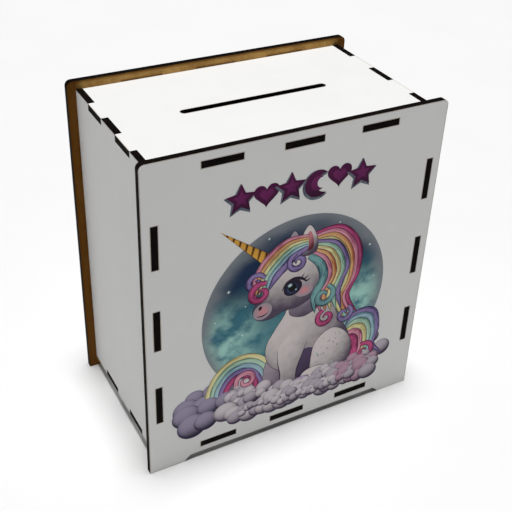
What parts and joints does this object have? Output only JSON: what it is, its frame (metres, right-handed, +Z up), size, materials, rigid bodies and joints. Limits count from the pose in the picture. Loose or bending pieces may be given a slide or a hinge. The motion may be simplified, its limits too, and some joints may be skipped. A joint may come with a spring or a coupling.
{
  "type": "wooden money box",
  "caption": "Finger-jointed board money box with overhanging front and back panels, a slot in the top and a swinging cover under the bottom.",
  "frame": {"origin": "centre of the footprint, on the surface the feet stand on", "axes": "+Z up, +Y from the printed front panel to the back panel, +X to the right along the front"},
  "size_m": [0.138, 0.082, 0.1551],
  "materials": {
    "board": "satin white laminate outside, raw brown fibreboard inside, laser-burnt edges",
    "steel": "zinc-plated, satin"
  },
  "bodies": {
    "box": {"front_panel": "board", "back_panel": "board", "left_side_panel": "board", "right_side_panel": "board", "top_panel": "board", "bottom_panel": "board", "pivot_screw": "steel", "screw_washer": "steel", "nut_washer": "steel", "pivot_nut": "steel"},
    "hatch": {"hatch_cover": "board"}
  },
  "joints": [
    {"name": "hatch_swing", "type": "hinge", "parent": "box", "child": "hatch", "pos_m": [0.0305, -0.018, 0.0042], "axis": [0, 0, -1], "range_deg": [0, 180]}
  ]
}
